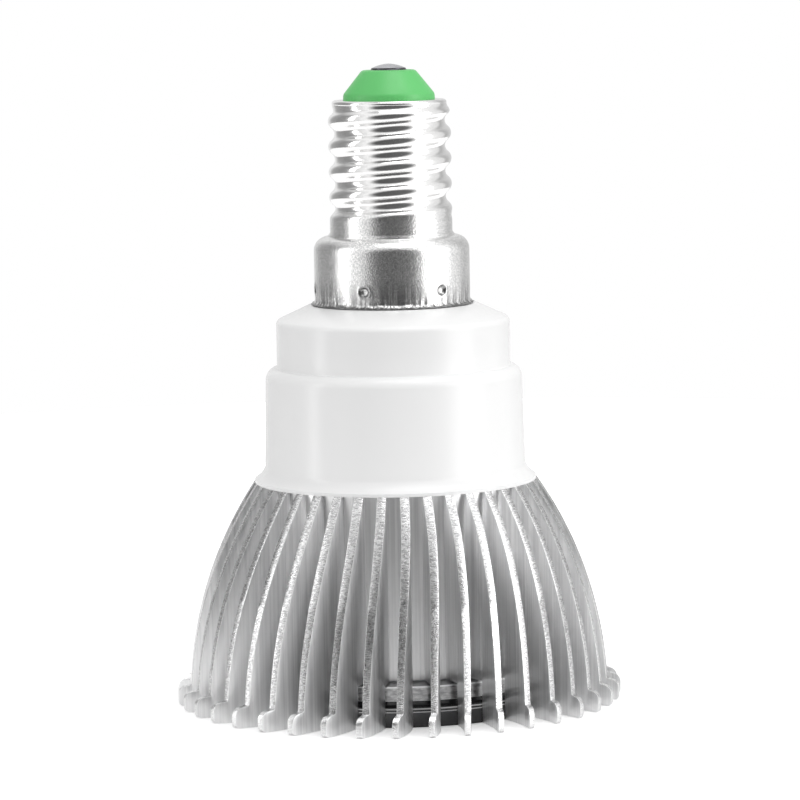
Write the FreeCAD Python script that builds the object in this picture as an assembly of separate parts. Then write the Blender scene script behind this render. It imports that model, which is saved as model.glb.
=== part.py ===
import FreeCAD, Part
import math
import os

# Grow light bulb with a small screw cap. It stands on its light face, cap up.
# The axis is Z, the light face lies at height 0, and the front is towards -Y.
# All sizes are in millimetres.

V = FreeCAD.Vector
UP = V(0, 0, 1)

# Fits
slide_gap = 0.05
loose_gap = 0.2

# Heat sink: an extruded bar with leaning fins, turned to a bell
sink_height = 24.8
fin_count = 40
fin_azimuth = -86.7
core_r = 15.3
fin_root_r = 15.7
fin_bend_r = 16.6
fin_bend_radius = 19.0
fin_root_t = 1.05
fin_mid_t = 0.94
fin_tip_t = 0.72
fin_overrun = 0.3
bell_top_r = 15.9
bell_arc_radius = 44.4
bell_steps = 6
waist_z = 2.4
lip_step = 0.75
lip_r = 24.3
lip_drop = 0.15
rim_r = 25.0
rim_face_z = 1.45
rim_corner = 0.45
recess_r = 18.9
recess_depth = 4.6
web_t = 4.4
bore_r = 12.9
wire_hole_r = 2.2

# Light source: board, pad, light chips and clear cover
board_r = 17.8
board_t = 1.6
pad_r = 14.8
pad_t = 0.25
outer_ring_r = 13.3
outer_ring_count = 12
outer_ring_azimuth = 15.0
inner_ring_r = 6.7
inner_ring_count = 6
blue_every = 3
chip_length = 5.7
chip_width = 3.0
chip_height = 0.8
chip_lens_r = 1.15
chip_lens_depth = 0.12
joint_r = 0.95
joint_height = 0.95
joint_x = 3.3
board_screw_circle_r = 9.65
board_screw_count = 3
board_screw_azimuth = 30.0
board_screw_length = 6.0
board_screw_r = 1.0
board_screw_head_r = 1.7
board_screw_head_h = 0.9
cover_t = 1.2
cover_rim_h = 2.2
cover_rim_wall = 1.4
cover_seat_wall = 0.9
cover_corner = 0.2

# Housing: a white moulded shell that slides into the heat sink
housing_wall = 1.5
spigot_wall = 1.2
base_r = 15.8
base_edge_h = 0.35
flare_h = 1.35
flare_rise = 0.16
barrel_foot_r = 14.63
barrel_top_r = 14.35
barrel_h = 9.9
step_h = 1.35
upper_r = 13.07
upper_h = 4.8
shoulder_edge_r = 12.75
shoulder_top_r = 9.45
shoulder_h = 2.0
neck_h = 5.7
boss_r = 2.5
boss_circle_r = 9.2
boss_azimuth = 60.0
boss_count = 2
boss_h = 7.0
housing_screw_length = 8.0
housing_screw_r = 1.25
housing_screw_head_r = 2.2
housing_screw_head_h = 1.5
rail_wall = 1.1
rail_reach = 1.0
groove_foot_h = 1.6

# Screw cap: one drawn metal shell with a rolled thread
shell_t = 0.3
skirt_r = 8.69
skirt_h = 6.45
crimp_r = 9.15
crimp_h = 0.45
cap_shoulder_h = 1.15
cap_neck_r = 6.83
cap_neck_h = 2.2
thread_pitch = 2.822
thread_crest_r = 6.85
thread_depth = 0.7
thread_h = 12.5
thread_fade_h = 1.1
last_crest_drop = 0.5
thread_rows = 8
thread_columns = 24
rim_roll_r = 6.4
rim_roll_h = 0.42
rim_opening_r = 5.2
seam_step = 0.04
dimple_count = 6
dimple_azimuth = -51.0
dimple_z_drop = 4.55
dimple_r = 0.6
dimple_tip_r = 0.25
dimple_depth = 0.35

# Cap insulator and centre contact
collar_h = 0.65
cone_h = 2.65
cone_top_r = 2.97
cone_edge = 0.25
flange_h = 1.0
contact_r = 2.05
contact_h = 0.69
shank_r = 1.0
shank_length = 5.5
shank_bore_r = 0.45
shank_bore_depth = 3.0

# Driver: an upright circuit board that hangs from the housing's shoulder
driver_y = -2.5
driver_half_w = 10.2
driver_t = 1.0
driver_drop = 8.2
driver_top_gap = 1.35
pin_r = 0.3
pin_stub = 0.8
lead_r = 0.35

# Capacitors that lie along X, above and below the transformer
can_x = -0.6
can_d = 6.3
can_gap = 0.35
input_can_length = 11.0
output_can_length = 9.0
can_pin_gap = 2.5
can_pin_reach = 1.2

# Transformer: a square core about a wound bobbin, upright in the middle
transformer_rise = 11.7
transformer_stand = 4.9
core_w = 10.2
core_h = 10.2
core_d = 4.7
core_leg = 2.6
core_side = 1.5
coil_wall = 0.5
coil_depth = 1.45
coil_corner = 1.2
pin_pitch_x = 5.0

# Film capacitor on the right of the transformer, fusible resistor on the left
film_x = 7.3
film_w = 3.0
film_d = 6.0
film_h = 7.2
film_pin_gap = 5.0
resistor_x = -7.4
resistor_r = 1.4
resistor_length = 6.6
resistor_pin_gap = 9.4
side_part_rise = 0.3

# Flat packages on the board's back: place, body, legs and their reach
package_lift = 0.1
leg_t = 0.2
rectifier_x = -5.2
rectifier_drop = 4.6
rectifier_w = 3.9
rectifier_h = 4.7
rectifier_d = 2.3
rectifier_leg_w = 0.7
rectifier_reach = 1.3
chip_x = 1.5
chip_w = 3.9
chip_h = 4.9
chip_d = 1.4
chip_leg_w = 0.4
chip_reach = 1.0
chip_gap = 0.3
diode_x = -5.0
diode_rise = 4.0
diode_w = 4.3
diode_h = 3.6
diode_d = 2.1
diode_leg_w = 1.9
diode_reach = 0.9
chip_resistor_w = 1.6
chip_resistor_h = 3.2
chip_resistor_t = 0.55
left_resistor_x = -6.4
right_resistor_x = 6.6
resistor_step = 4.0
right_resistor_rise = 5.1

# Leads: where they pass the driver board and how far they stand off its back
live_hole_x = 2.4
neutral_hole_x = -1.6
cap_hole_rise = 3.0
light_hole_x = 7.2
light_hole_rise = 1.0
cap_lead_stand = 2.4
light_lead_stand = 1.6
light_lead_x = 0.8
light_lead_h = 0.8

# Heights that follow from the sizes above
chip_board_face_z = recess_depth - pad_t - board_t
web_top_z = recess_depth + web_t
flare_z = sink_height + base_edge_h
barrel_z = flare_z + flare_h
step_z = barrel_z + barrel_h
upper_z = step_z + step_h
shoulder_z = upper_z + upper_h
neck_z = shoulder_z + shoulder_h
neck_top_z = neck_z + neck_h
driver_bottom_z = sink_height - driver_drop
driver_top_z = shoulder_z - driver_top_gap
transformer_z = driver_bottom_z + transformer_rise
transformer_pin_h = core_h / 2 - core_side - coil_wall / 2
side_part_z = transformer_z + side_part_rise
input_can_z = transformer_z + core_h / 2 + can_gap + can_d / 2
output_can_z = transformer_z - core_h / 2 - can_gap - can_d / 2
chip_z = transformer_z - transformer_pin_h - pin_r - chip_gap - chip_h / 2
cap_hole_z = input_can_z + cap_hole_rise
light_hole_z = driver_bottom_z + light_hole_rise
cap_z = neck_z + slide_gap
skirt_top_z = cap_z + skirt_h
cap_neck_z = skirt_top_z + cap_shoulder_h
thread_z = cap_neck_z + cap_neck_h
thread_top_z = thread_z + thread_h
rim_top_z = thread_top_z + rim_roll_h
collar_top_z = rim_top_z + collar_h
insulator_top_z = collar_top_z + cone_h
contact_top_z = insulator_top_z + contact_h

# Radii and places that follow
waist_r = lip_r - lip_step
neck_r = skirt_r - shell_t - slide_gap
neck_bore_r = neck_r - housing_wall
thread_bore_r = thread_crest_r - thread_depth - shell_t
spigot_r = bore_r - slide_gap
spigot_bore_r = spigot_r - spigot_wall
driver_front_y = driver_y + driver_t / 2
driver_back_y = driver_y - driver_t / 2
transformer_y = driver_front_y + transformer_stand
input_can = (can_x, input_can_z, can_d, input_can_length)
output_can = (can_x, output_can_z, can_d, output_can_length)
live_hole = (live_hole_x, cap_hole_z)
neutral_hole = (neutral_hole_x, cap_hole_z)
positive_hole = (light_hole_x, light_hole_z)
negative_hole = (-light_hole_x, light_hole_z)


def ring_points(count, radius, azimuth=0.0):
    """Places on a circle about the axis, with the azimuth of each."""
    places = []
    for k in range(count):
        a = azimuth + 360.0 * k / count
        x = radius * math.cos(math.radians(a))
        y = radius * math.sin(math.radians(a))
        places.append((x, y, a))
    return places


def round_run(start, end, rise, steps):
    """Points along an arc whose middle rises this far to the left of its chord."""
    dr = end[0] - start[0]
    dz = end[1] - start[1]
    half = math.hypot(dr, dz) / 2
    radius = (half * half + rise * rise) / (2 * abs(rise))
    opening = 2 * math.asin(min(half / radius, 1.0))
    points = []
    for k in range(steps + 1):
        a = opening * (k / steps - 0.5)
        along = 0.5 + radius * math.sin(a) / (2 * half)
        lift = math.copysign(radius * (math.cos(a) - math.cos(opening / 2)), rise) / (2 * half)
        points.append((start[0] + dr * along - dz * lift, start[1] + dz * along + dr * lift))
    return points


def turned(*points):
    """A solid of revolution about Z from its half outline."""
    corners = []
    for r, z in points:
        corner = V(r, 0, z)
        if not corners or corner.distanceToPoint(corners[-1]) > 1e-6:
            corners.append(corner)
    outline = Part.makePolygon(corners + corners[:1])
    return Part.Face(outline).revolve(V(0, 0, 0), UP, 360)


def rod(x, y, z, radius, height):
    """An upright cylinder on the point given."""
    return Part.makeCylinder(radius, height, V(x, y, z))


def block(x, y, z):
    """A box from its span along each axis."""
    size = V(x[1] - x[0], y[1] - y[0], z[1] - z[0])
    return Part.makeBox(size.x, size.y, size.z, V(x[0], y[0], z[0]))


def placed(shape, x, y, azimuth):
    """A copy of a shape made at the origin, turned about Z and moved."""
    copy = shape.copy()
    copy.rotate(V(0, 0, 0), UP, azimuth)
    copy.translate(V(x, y, 0))
    return copy


def save(name, shape):
    """One file for each piece, or for each group of like pieces."""
    shape.exportStep("parts/" + name + ".step")
    print(name, len(shape.Solids), round(shape.Volume, 2), shape.isValid())


# Heat sink

def fin_point(sweep, side, thickness):
    """A point on a fin's flank, this far round the arc of its bend."""
    a = math.radians(sweep)
    middle = V(fin_bend_r + fin_bend_radius * math.sin(a), fin_bend_radius * (math.cos(a) - 1), 0)
    outwards = V(math.sin(a), math.cos(a), 0)
    return middle + outwards * (side * thickness / 2)


def fin_section():
    """The bar's outline: flanks that run out straight and then lean over."""
    past_rim = rim_r + fin_overrun - fin_bend_r
    sweep = math.degrees(math.asin(past_rim / fin_bend_radius))
    pitch = 360.0 / fin_count
    flank = {}
    for side in (-1, 1):
        root = V(fin_root_r, side * fin_root_t / 2, 0)
        bend = fin_point(0, side, fin_root_t)
        middle = fin_point(sweep / 2, side, fin_mid_t)
        tip = fin_point(sweep, side, fin_tip_t)
        flank[side] = (root, bend, middle, tip)
    next_root = FreeCAD.Rotation(UP, pitch).multVec(flank[-1][0])
    gap_floor = FreeCAD.Rotation(UP, pitch / 2).multVec(V(core_r, 0, 0))
    root, bend, middle, tip = flank[-1]
    root_2, bend_2, middle_2, tip_2 = flank[1]
    curves = [
        Part.LineSegment(root, bend),
        Part.Arc(bend, middle, tip),
        Part.LineSegment(tip, tip_2),
        Part.Arc(tip_2, middle_2, bend_2),
        Part.LineSegment(bend_2, root_2),
        Part.Arc(root_2, gap_floor, next_root),
    ]
    edges = []
    for k in range(fin_count):
        for curve in curves:
            edge = curve.toShape()
            edge.rotate(V(0, 0, 0), UP, fin_azimuth + k * pitch)
            edges.append(edge)
    return Part.Face(Part.Wire(edges))


def bell():
    """The turned outside: a bell that ends in a flat lip at the rim."""
    waist = (waist_r, waist_z)
    top = (bell_top_r, sink_height)
    lip = (lip_r, waist_z - lip_drop)
    rim = (rim_r, rim_face_z)
    chord = math.hypot(waist[0] - top[0], waist[1] - top[1])
    rise = bell_arc_radius - math.sqrt(bell_arc_radius ** 2 - chord ** 2 / 4)
    return turned(
        (0, 0),
        (rim_r - rim_corner, 0),
        (rim_r, rim_corner),
        *round_run(rim, lip, -0.25 * (rim_r - lip_r), 2),
        *round_run(waist, top, -rise, bell_steps),
        (0, sink_height),
    )


def board_screw_places():
    return ring_points(board_screw_count, board_screw_circle_r, board_screw_azimuth)


def housing_screw_places():
    return ring_points(boss_count, boss_circle_r, boss_azimuth)


def heat_sink():
    sink = fin_section().extrude(V(0, 0, sink_height)).common(bell())
    head_pocket_z = recess_depth + housing_screw_head_h + loose_gap
    cutters = [
        rod(0, 0, 0, recess_r, recess_depth),
        rod(0, 0, web_top_z, bore_r, sink_height),
        rod(0, 0, 0, wire_hole_r, sink_height),
    ]
    for x, y, _ in board_screw_places():
        cutters.append(rod(x, y, 0, board_screw_r + slide_gap, sink_height))
    for x, y, _ in housing_screw_places():
        cutters.append(rod(x, y, 0, housing_screw_r + slide_gap, sink_height))
        cutters.append(rod(x, y, 0, housing_screw_head_r + loose_gap, head_pocket_z))
    return sink.cut(cutters)


# Light source

def thermal_pad():
    pad = rod(0, 0, chip_board_face_z + board_t, pad_r, pad_t)
    cutters = [rod(0, 0, 0, wire_hole_r, sink_height)]
    for x, y, _ in board_screw_places():
        cutters.append(rod(x, y, 0, board_screw_r + loose_gap, sink_height))
    return pad.cut(cutters)


def led_board():
    board = rod(0, 0, chip_board_face_z, board_r, board_t)
    cutters = [rod(0, 0, 0, wire_hole_r, sink_height)]
    for x, y, _ in board_screw_places():
        cutters.append(rod(x, y, 0, board_screw_r + slide_gap, sink_height))
    return board.cut(cutters)


def light_chip():
    """One surface-mounted light chip below the board, with its shallow well."""
    half_l = chip_length / 2
    half_w = chip_width / 2
    low_z = chip_board_face_z - chip_height
    body = block((-half_w, half_w), (-half_l, half_l), (low_z, chip_board_face_z))
    well = rod(0, 0, low_z, chip_lens_r, chip_lens_depth)
    return body.cut(well)


def light_chips():
    """Red and blue chips on two rings; each third one is blue."""
    red = []
    blue = []
    places = ring_points(outer_ring_count, outer_ring_r, outer_ring_azimuth)
    places += ring_points(inner_ring_count, inner_ring_r)
    for k, (x, y, azimuth) in enumerate(places):
        chip = placed(light_chip(), x, y, azimuth)
        if k % blue_every == 1:
            blue.append(chip)
        else:
            red.append(chip)
    return Part.makeCompound(red), Part.makeCompound(blue)


def pan_screw(seat_z, direction, radius, length, head_r, head_h):
    """A pan head screw on the axis; it drives in the direction given."""
    under = seat_z - direction * head_h
    screw = turned(
        (0, under),
        *round_run((head_r * 0.7, under), (head_r, seat_z), -direction * head_h * 0.25, 2),
        (radius, seat_z),
        (radius, seat_z + direction * (length - radius)),
        (radius * 0.4, seat_z + direction * length),
        (0, seat_z + direction * length),
    )
    arm = head_r * 0.6
    slit = head_r * 0.14
    low = min(under, under + direction * head_h * 0.5)
    deep = (low, low + head_h * 0.5)
    cross = block((-arm, arm), (-slit, slit), deep).fuse(block((-slit, slit), (-arm, arm), deep))
    return screw.cut(cross)


def board_screws():
    screw = pan_screw(chip_board_face_z, 1, board_screw_r, board_screw_length,
                      board_screw_head_r, board_screw_head_h)
    return Part.makeCompound([placed(screw, x, y, a) for x, y, a in board_screw_places()])


def housing_screws():
    seat_z = recess_depth + housing_screw_head_h + loose_gap
    screw = pan_screw(seat_z, 1, housing_screw_r, housing_screw_length,
                      housing_screw_head_r, housing_screw_head_h)
    return Part.makeCompound([placed(screw, x, y, a) for x, y, a in housing_screw_places()])


def solder_joints(leads):
    """A rounded drop of solder over each lead end on the light board."""
    base = chip_board_face_z
    drop = turned(
        *round_run((0, base - joint_height), (joint_r, base), -0.3 * joint_r, 3),
        (0, base),
    )
    drops = []
    for side, lead in zip((1, -1), leads):
        drops.append(placed(drop, side * joint_x, 0, 0).cut(lead))
    return Part.makeCompound(drops)


def front_cover():
    """A clear disc with a rim that slides in the recess and a ring on the board."""
    rim = recess_r - slide_gap
    seat = rim - cover_rim_wall
    seat_bore = seat - cover_seat_wall
    return turned(
        (0, 0),
        (rim - cover_corner, 0),
        (rim, cover_corner),
        (rim, cover_rim_h),
        (seat, cover_rim_h),
        (seat, chip_board_face_z),
        (seat_bore, chip_board_face_z),
        (seat_bore, cover_t),
        (0, cover_t),
    )


# Housing

def housing_outside():
    barrel_top = (barrel_top_r, step_z)
    step_top = (upper_r, upper_z)
    shoulder_edge = (shoulder_edge_r, shoulder_z + 0.25 * shoulder_h)
    return turned(
        (0, web_top_z + loose_gap),
        (spigot_r, web_top_z + loose_gap),
        (spigot_r, sink_height),
        (base_r, sink_height),
        *round_run((base_r, flare_z), (barrel_foot_r, barrel_z), flare_rise, 2),
        *round_run(barrel_top, step_top, -0.22 * (barrel_top_r - upper_r), 3),
        *round_run((upper_r, shoulder_z), shoulder_edge, -0.09, 2),
        (shoulder_top_r, neck_z),
        (neck_r, neck_z),
        (neck_r, neck_top_z),
        (0, neck_top_z),
    )


def housing_inside():
    inner_barrel = barrel_top_r - housing_wall
    inner_upper = upper_r - housing_wall
    return turned(
        (0, web_top_z),
        (spigot_bore_r, web_top_z),
        (spigot_bore_r, barrel_z),
        (inner_barrel, barrel_z + (inner_barrel - spigot_bore_r)),
        (inner_barrel, step_z - housing_wall / 2),
        (inner_upper, upper_z - housing_wall / 2),
        (inner_upper, shoulder_z - housing_wall / 2),
        (neck_bore_r, neck_z - housing_wall / 2),
        (neck_bore_r, neck_top_z),
        (0, neck_top_z),
    )


def board_rail(side):
    """A slotted rail that holds one edge of the driver board, shut at the top."""
    inner_x = driver_half_w - rail_reach
    half = driver_t / 2 + slide_gap + rail_wall
    slot = driver_t / 2 + slide_gap
    tall = (driver_bottom_z, driver_top_z + rail_wall)
    open_z = (driver_bottom_z - 1, driver_top_z + slide_gap)
    rail_x = sorted((side * inner_x, side * barrel_foot_r))
    slot_x = sorted((0, side * (driver_half_w + slide_gap)))
    rail = block(rail_x, (driver_y - half, driver_y + half), tall)
    return rail.cut(block(slot_x, (driver_y - slot, driver_y + slot), open_z))


def dimple_punches(grow):
    """The blunt cones that press the dents in the skirt, with room grown round them."""
    tip = skirt_r - dimple_depth - grow
    tall = skirt_r + 1 - tip
    wide = dimple_tip_r + grow + tall * (dimple_r - dimple_tip_r) / dimple_depth
    punches = []
    for x, y, _ in ring_points(dimple_count, tip, dimple_azimuth):
        start = V(x, y, skirt_top_z - dimple_z_drop)
        punches.append(Part.makeCone(dimple_tip_r + grow, wide, tall, start, V(x, y, 0)))
    return punches


def neutral_groove():
    """The notch and groove that lead the wire over the neck's edge."""
    half = lead_r + slide_gap
    outside_y = -neck_r - 1
    above = neck_top_z + 1
    notch = block((-half, half), (outside_y, -neck_bore_r + 1), (neck_top_z - 3 * lead_r, above))
    groove = block((-half, half), (outside_y, -neck_r + lead_r + half), (neck_z + groove_foot_h, above))
    return [notch, groove]


def housing():
    outside = housing_outside()
    shell = outside.cut(housing_inside())
    inserts = [board_rail(1), board_rail(-1)]
    for x, y, _ in housing_screw_places():
        inserts.append(rod(x, y, web_top_z + loose_gap, boss_r, boss_h))
    inserts = [insert.common(outside) for insert in inserts]
    shell = shell.fuse(inserts)
    cutters = dimple_punches(shell_t + slide_gap) + neutral_groove()
    screw_top_z = recess_depth + housing_screw_head_h + loose_gap + housing_screw_length
    for x, y, _ in housing_screw_places():
        cutters.append(rod(x, y, 0, housing_screw_r + slide_gap, screw_top_z + loose_gap))
    return shell.cut(cutters).removeSplitter()


# Screw cap

def ease(x):
    """A smooth rise from 0 to 1 between 0 and 1."""
    x = min(max(x, 0.0), 1.0)
    return x * x * (3 - 2 * x)


def thread_radius(z, turn):
    """The rolled wall's outer radius at this height and share of a turn."""
    crest_z = thread_top_z - last_crest_drop
    phase = (z - crest_z) / thread_pitch - turn
    groove = thread_depth * (1 - math.cos(2 * math.pi * phase)) / 2
    run_in = ease((z - thread_z) / thread_fade_h)
    run_out = ease((thread_top_z - z) / thread_fade_h)
    radius = thread_crest_r - seam_step * (2 - run_in) - groove * run_in
    end_r = rim_roll_r - seam_step
    return end_r + (radius - end_r) * run_out


def thread_section(z):
    """The closed outline of the threaded wall at this height."""
    ring = []
    for j in range(thread_columns):
        turn = j / thread_columns
        a = 2 * math.pi * turn
        r = thread_radius(z, turn)
        ring.append(V(r * math.cos(a), r * math.sin(a), z))
    curve = Part.BSplineCurve()
    curve.interpolate(ring, PeriodicFlag=True)
    return Part.Wire([curve.toShape()])


def threaded_tube():
    """The rolled thread: close outlines whose waves climb with the turn."""
    rows = int(round(thread_h / thread_pitch * thread_rows))
    outlines = [thread_section(thread_z + thread_h * i / rows) for i in range(rows + 1)]
    bar = Part.makeLoft(outlines, True, True)
    return bar.cut(rod(0, 0, thread_z - 1, thread_bore_r, thread_h + 2))


def cap_foot():
    """The skirt with its flared edge, the rounded shoulder and the plain neck."""
    t = shell_t
    flare = (crimp_r, cap_z + 0.1)
    flare_top = (skirt_r, cap_z + crimp_h)
    shoulder_in = (cap_neck_r + 0.25, cap_neck_z)
    shoulder_out = (skirt_r, skirt_top_z)
    inner = thread_bore_r - seam_step
    return turned(
        (crimp_r - t, cap_z),
        (crimp_r, cap_z),
        *round_run(flare, flare_top, 0.06, 2),
        *round_run(shoulder_out, shoulder_in, -0.3, 4),
        (cap_neck_r, cap_neck_z + 0.25),
        (cap_neck_r, thread_z),
        (inner, thread_z),
        (inner, cap_neck_z - t),
        *round_run((shoulder_in[0], cap_neck_z - t), (skirt_r - t, skirt_top_z - t), 0.3, 3),
        (skirt_r - t, cap_z + crimp_h + t),
    )


def cap_rim():
    """The edge at the top of the shell, rolled inwards over the insulator."""
    z = thread_top_z
    high = rim_top_z
    inner = thread_bore_r - seam_step
    return turned(
        *round_run((rim_roll_r, z), (rim_roll_r - 0.35, high), -0.1, 3),
        (rim_opening_r + 0.1, high),
        (rim_opening_r, high - 0.1),
        (rim_opening_r, high - shell_t),
        (inner - 0.1, high - shell_t),
        (inner, high - shell_t - 0.1),
        (inner, z),
    )


def screw_shell():
    """The whole shell, with the dents pressed in and standing out inside."""
    inner_reach = rod(0, 0, cap_z, skirt_r - shell_t / 2, skirt_h)
    bumps = [punch.common(inner_reach) for punch in dimple_punches(shell_t)]
    shell = threaded_tube().fuse([cap_foot(), cap_rim()] + bumps)
    return shell.cut(dimple_punches(0))


def cap_insulator():
    opening = rim_opening_r - slide_gap
    flange = thread_bore_r - seam_step - slide_gap
    seat_z = rim_top_z - shell_t - slide_gap
    collar_r = opening - 0.06
    cone_edge_r = cone_top_r + cone_edge
    cone_edge_z = insulator_top_z - cone_edge
    return turned(
        (shank_r + slide_gap, seat_z - flange_h),
        (flange, seat_z - flange_h),
        (flange, seat_z),
        (opening, seat_z),
        (opening, rim_top_z),
        (collar_r, collar_top_z),
        *round_run((cone_edge_r, cone_edge_z), (cone_top_r - cone_edge, insulator_top_z), -0.08, 3),
        (shank_r + slide_gap, insulator_top_z),
    )


def centre_contact():
    base = insulator_top_z
    contact = turned(
        *round_run((0, contact_top_z), (contact_r, base + 0.12), 0.12, 4),
        (contact_r, base),
        (shank_r, base),
        (shank_r, base - shank_length),
        (0, base - shank_length),
    )
    return contact.cut(rod(0, 0, base - shank_length, shank_bore_r, shank_bore_depth))


# Driver electronics

def bent_tube(points, radius, shares):
    """A wire of straight runs and tangent arcs; a share sizes each arc."""
    points = [V(*p) for p in points]
    edges = []
    radii = []
    here = points[0]
    for k in range(1, len(points) - 1):
        back = points[k - 1] - points[k]
        ahead = points[k + 1] - points[k]
        run = min(back.Length, ahead.Length)
        turn = math.pi - back.getAngle(ahead)
        trim = shares[k - 1] * run
        arc_radius = trim / math.tan(turn / 2)
        radii.append(round(arc_radius, 2))
        back.normalize()
        ahead.normalize()
        first = points[k] + back * trim
        last = points[k] + ahead * trim
        towards = back + ahead
        towards.normalize()
        middle = points[k] + towards * (arc_radius / math.cos(turn / 2) - arc_radius)
        if here.distanceToPoint(first) > 1e-6:
            edges.append(Part.LineSegment(here, first).toShape())
        edges.append(Part.Arc(first, middle, last).toShape())
        here = last
    edges.append(Part.LineSegment(here, points[-1]).toShape())
    path = Part.Wire(edges)
    start = points[1] - points[0]
    section = Part.Wire([Part.Circle(points[0], start, radius).toShape()])
    print("arc radii", radii)
    return path.makePipeShell([section], True, True)


def pin_places():
    """Every through hole of the driver board, as x, z and radius."""
    pins = transformer_pin_places() + can_pin_places(input_can) + can_pin_places(output_can)
    pins += upright_pin_places(film_x, film_pin_gap)
    pins += upright_pin_places(resistor_x, resistor_pin_gap)
    leads = (live_hole, neutral_hole, positive_hole, negative_hole)
    return [(x, z, pin_r) for x, z in pins] + [(x, z, lead_r) for x, z in leads]


def upright_pin_places(x, gap):
    """The two holes of a part that stands beside the transformer."""
    return [(x, side_part_z - gap / 2), (x, side_part_z + gap / 2)]


def pin(x, z, length=driver_t + 2 * pin_stub):
    """A pin through the driver board, from just behind it towards the front."""
    return Part.makeCylinder(pin_r, length, V(x, driver_back_y - pin_stub, z), V(0, 1, 0))


def driver_board():
    span_x = (-driver_half_w, driver_half_w)
    board = block(span_x, (driver_back_y, driver_front_y), (driver_bottom_z, driver_top_z))
    cutters = []
    for x, z, radius in pin_places():
        start = V(x, driver_back_y - 1, z)
        cutters.append(Part.makeCylinder(radius + slide_gap, driver_t + 2, start, V(0, 1, 0)))
    return board.cut(cutters)


def can_pin_places(can):
    x, z, _, length = can
    end = x + length / 2 + can_pin_reach
    return [(end, z - can_pin_gap / 2), (end, z + can_pin_gap / 2)]


def electrolytic(can):
    """A can on its side, with a rolled groove and two bent leads."""
    x, z, diameter, length = can
    r = diameter / 2
    body = turned(
        (0, 0), (r - 0.4, 0), (r, 0.4),
        (r, length - 2.0), (r - 0.3, length - 1.6), (r, length - 1.2),
        (r, length - 0.4), (r - 0.4, length), (0, length),
    )
    body.rotate(V(0, 0, 0), V(0, 1, 0), 90)
    axis_y = driver_front_y + r + slide_gap
    body.translate(V(x - length / 2, axis_y, z))
    start = x + length / 2 - 0.5
    leads = []
    for px, pz in can_pin_places(can):
        leads.append(Part.makeCylinder(pin_r, px - start + pin_r, V(start, axis_y, pz), V(1, 0, 0)))
        leads.append(pin(px, pz, axis_y - driver_back_y + pin_stub))
    return body.fuse(leads)


def transformer_pin_places():
    x = pin_pitch_x / 2
    z = transformer_pin_h
    return [(side * x, transformer_z + end * z) for side in (-1, 1) for end in (-1, 1)]


def transformer_core():
    span_y = (transformer_y - core_d / 2, transformer_y + core_d / 2)
    z = transformer_z
    frame = block((-core_w / 2, core_w / 2), span_y, (z - core_h / 2, z + core_h / 2))
    windows = []
    for side in (-1, 1):
        window_x = sorted((side * core_leg / 2, side * (core_w / 2 - core_side)))
        span_z = (z - core_h / 2 + core_side, z + core_h / 2 - core_side)
        windows.append(block(window_x, span_y, span_z))
    return frame.cut(windows)


def coil_form(x_half, y_half, z_half, corner):
    """A rounded upright block about the middle of the transformer."""
    y = transformer_y
    z = transformer_z
    form = block((-x_half, x_half), (y - y_half, y + y_half), (z - z_half, z + z_half))
    upright = [e for e in form.Edges if abs(e.tangentAt(e.FirstParameter).z) > 0.9]
    return form.makeFillet(corner, upright)


def leg_hole():
    x = core_leg / 2 + slide_gap
    span_y = (transformer_y - core_d / 2 - slide_gap, transformer_y + core_d / 2 + slide_gap)
    return block((-x, x), span_y, (transformer_z - core_h, transformer_z + core_h))


def transformer_bobbin():
    tube_x = core_leg / 2 + slide_gap + coil_wall
    tube_y = core_d / 2 + slide_gap + coil_wall
    window_h = core_h / 2 - core_side - slide_gap
    flange_x = core_w / 2 - core_side - slide_gap
    flange_y = (driver_front_y + slide_gap, transformer_y + tube_y + coil_depth)
    flanges = []
    for side in (-1, 1):
        span_z = sorted((transformer_z + side * window_h, transformer_z + side * (window_h - coil_wall)))
        flanges.append(block((-flange_x, flange_x), flange_y, span_z))
    body = coil_form(tube_x, tube_y, window_h, 0.3).fuse(flanges)
    return body.cut([leg_hole()] + [pin(x, z) for x, z in transformer_pin_places()])


def transformer_winding():
    gap = slide_gap
    inner_x = core_leg / 2 + gap + coil_wall + gap
    inner_y = core_d / 2 + gap + coil_wall + gap
    half_h = core_h / 2 - core_side - coil_wall - 2 * gap
    outer = coil_form(inner_x + coil_depth - gap, inner_y + coil_depth, half_h, coil_corner)
    return outer.cut(coil_form(inner_x, inner_y, half_h + 1, 0.3))


def transformer_pins():
    return Part.makeCompound([pin(x, z) for x, z in transformer_pin_places()])


def film_capacitor():
    """A rounded box on two pins."""
    y = driver_front_y + slide_gap
    span_x = (film_x - film_w / 2, film_x + film_w / 2)
    body = block(span_x, (y, y + film_d), (side_part_z - film_h / 2, side_part_z + film_h / 2))
    upright = [e for e in body.Edges if abs(e.tangentAt(e.FirstParameter).z) > 0.9]
    pins = [pin(x, z) for x, z in upright_pin_places(film_x, film_pin_gap)]
    return body.makeFillet(0.5, upright).fuse(pins)


def fusible_resistor():
    """A waisted body, with its leads bent back to the board."""
    r = resistor_r
    h = resistor_length
    body = turned(
        (0, 0), (r * 0.7, 0), (r, 0.5), (r, 1.3), (r * 0.88, 1.7),
        (r * 0.88, h - 1.7), (r, h - 1.3), (r, h - 0.5), (r * 0.7, h), (0, h),
    )
    axis_y = driver_front_y + r + slide_gap
    body.translate(V(resistor_x, axis_y, side_part_z - h / 2))
    low_z = side_part_z - resistor_pin_gap / 2 - pin_r
    leads = [rod(resistor_x, axis_y, low_z, pin_r, resistor_pin_gap + 2 * pin_r)]
    for x, z in upright_pin_places(resistor_x, resistor_pin_gap):
        leads.append(pin(x, z, axis_y - driver_back_y + pin_stub))
    return body.fuse(leads)


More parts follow.
